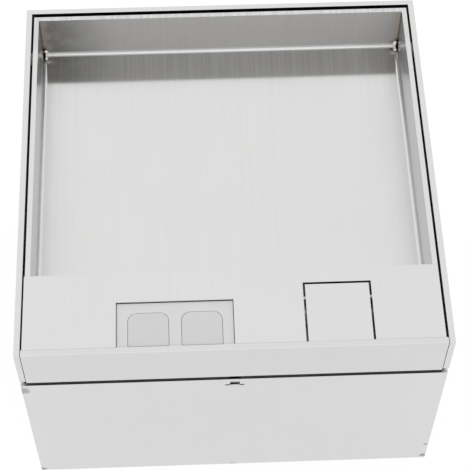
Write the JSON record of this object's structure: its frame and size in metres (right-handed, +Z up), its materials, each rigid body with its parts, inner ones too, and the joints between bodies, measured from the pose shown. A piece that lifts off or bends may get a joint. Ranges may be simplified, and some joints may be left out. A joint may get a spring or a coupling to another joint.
{
  "type": "floor socket box",
  "caption": "square underfloor service box with a recessed tray lid, a cable outlet bar with sprung flaps, a flush lift handle, and sockets inside",
  "frame": {"origin": "centre of the housing's underside, as it stands on the raw floor", "axes": "+Z up, -Y towards the cable outlet bar, +X to the right seen from the bar"},
  "size_m": [0.2, 0.2, 0.1304],
  "materials": {
    "brushed_sheet": "fine brushed, satin",
    "zinc_steel": "zinc plated, satin",
    "light_grey_plastic": "moulded, satin",
    "socket_white": "moulded, glossy",
    "data_grey": "moulded, matte",
    "contact_brass": "plain",
    "seal_rubber": "matte",
    "bush_plastic": "moulded, matte",
    "dark_paint": "painted, matte"
  },
  "bodies": {
    "housing": {"housing": "brushed_sheet", "levelling_shelves": "zinc_steel", "device_rail_left": "zinc_steel", "device_rail_right": "zinc_steel", "device_plate": "zinc_steel", "device_plate_screws": "zinc_steel", "module_screws": "zinc_steel", "socket_body_1": "socket_white", "socket_body_2": "socket_white", "socket_contacts": "contact_brass", "earth_clip_1": "zinc_steel", "earth_clip_2": "zinc_steel", "data_module_plate": "socket_white", "data_jack_1": "data_grey", "data_jack_2": "data_grey", "data_jack_contacts": "contact_brass", "earth_stud": "zinc_steel", "earth_nuts": "zinc_steel", "earth_washers": "zinc_steel", "cable_saddle": "zinc_steel", "cable_saddle_screws": "zinc_steel"},
    "floor_frame": {"floor_frame": "brushed_sheet", "frame_front_plate": "brushed_sheet", "frame_skirt": "dark_paint", "lid_ledge_left": "zinc_steel", "lid_ledge_right": "zinc_steel", "rest_strip_left": "seal_rubber", "rest_strip_right": "seal_rubber", "hinge_bush_left": "bush_plastic", "hinge_bush_right": "bush_plastic", "levelling_lug_front_left": "zinc_steel", "levelling_lug_front_right": "zinc_steel", "levelling_lug_rear_left": "zinc_steel", "levelling_lug_rear_right": "zinc_steel", "levelling_nuts": "zinc_steel"},
    "lid": {"lid_tray": "brushed_sheet", "hinge_pin_left": "zinc_steel", "hinge_pin_right": "zinc_steel", "outlet_bar": "brushed_sheet", "bar_studs": "zinc_steel", "bar_nuts": "zinc_steel", "cable_insert": "light_grey_plastic", "cable_insert_screws": "zinc_steel", "flap_hinge_pin": "zinc_steel", "handle_pin": "zinc_steel", "handle_cup": "brushed_sheet", "handle_cup_screws": "zinc_steel"},
    "cable_flap_left": {"cable_flap_left": "light_grey_plastic", "flap_spring_left": "zinc_steel"},
    "cable_flap_right": {"cable_flap_right": "light_grey_plastic", "flap_spring_right": "zinc_steel"},
    "lift_handle": {"lift_handle": "brushed_sheet", "handle_spring": "zinc_steel"},
    "levelling_screw_front_left": {"levelling_screw_front_left": "zinc_steel"},
    "levelling_screw_front_right": {"levelling_screw_front_right": "zinc_steel"},
    "levelling_screw_rear_left": {"levelling_screw_rear_left": "zinc_steel"},
    "levelling_screw_rear_right": {"levelling_screw_rear_right": "zinc_steel"}
  },
  "joints": [
    {"name": "level_slide", "type": "slide", "parent": "housing", "child": "floor_frame", "axis": [0, 0, 1], "range_m": [-0.0025, 0.012]},
    {"name": "lid_hinge", "type": "hinge", "parent": "floor_frame", "child": "lid", "pos_m": [0, 0.0726, 0.1234], "axis": [-1, 0, 0], "range_deg": [0, 145]},
    {"name": "cable_flap_left_hinge", "type": "hinge", "parent": "lid", "child": "cable_flap_left", "pos_m": [-0.03915, -0.0822, 0.1268], "axis": [1, 0, 0], "range_deg": [0, 88], "stiffness_Nm_per_rad": 0.004, "springref_deg": -20.05},
    {"name": "cable_flap_right_hinge", "type": "hinge", "parent": "lid", "child": "cable_flap_right", "pos_m": [-0.01465, -0.0822, 0.1268], "axis": [1, 0, 0], "range_deg": [0, 88], "stiffness_Nm_per_rad": 0.004, "springref_deg": -20.05},
    {"name": "lift_handle_hinge", "type": "hinge", "parent": "lid", "child": "lift_handle", "pos_m": [0.0482, -0.0736, 0.128], "axis": [-1, 0, 0], "range_deg": [0, 70], "stiffness_Nm_per_rad": 0.01, "springref_deg": -20.05},
    {"name": "levelling_screw_front_left_turn", "type": "hinge", "parent": "housing", "child": "levelling_screw_front_left", "pos_m": [-0.084, -0.084, 0.0664], "axis": [0, 0, -1], "range_deg": [-910, 4330]},
    {"name": "levelling_screw_front_right_turn", "type": "hinge", "parent": "housing", "child": "levelling_screw_front_right", "pos_m": [0.084, -0.084, 0.0664], "axis": [0, 0, -1], "range_deg": [-910, 4330]},
    {"name": "levelling_screw_rear_left_turn", "type": "hinge", "parent": "housing", "child": "levelling_screw_rear_left", "pos_m": [-0.084, 0.084, 0.0664], "axis": [0, 0, -1], "range_deg": [-910, 4330]},
    {"name": "levelling_screw_rear_right_turn", "type": "hinge", "parent": "housing", "child": "levelling_screw_rear_right", "pos_m": [0.084, 0.084, 0.0664], "axis": [0, 0, -1], "range_deg": [-910, 4330]}
  ],
  "couplings": [
    {"joint": "levelling_screw_front_left_turn", "follows": "level_slide", "rad_per_m": 6283.2},
    {"joint": "levelling_screw_front_right_turn", "follows": "level_slide", "rad_per_m": 6283.2},
    {"joint": "levelling_screw_rear_left_turn", "follows": "level_slide", "rad_per_m": 6283.2},
    {"joint": "levelling_screw_rear_right_turn", "follows": "level_slide", "rad_per_m": 6283.2}
  ]
}
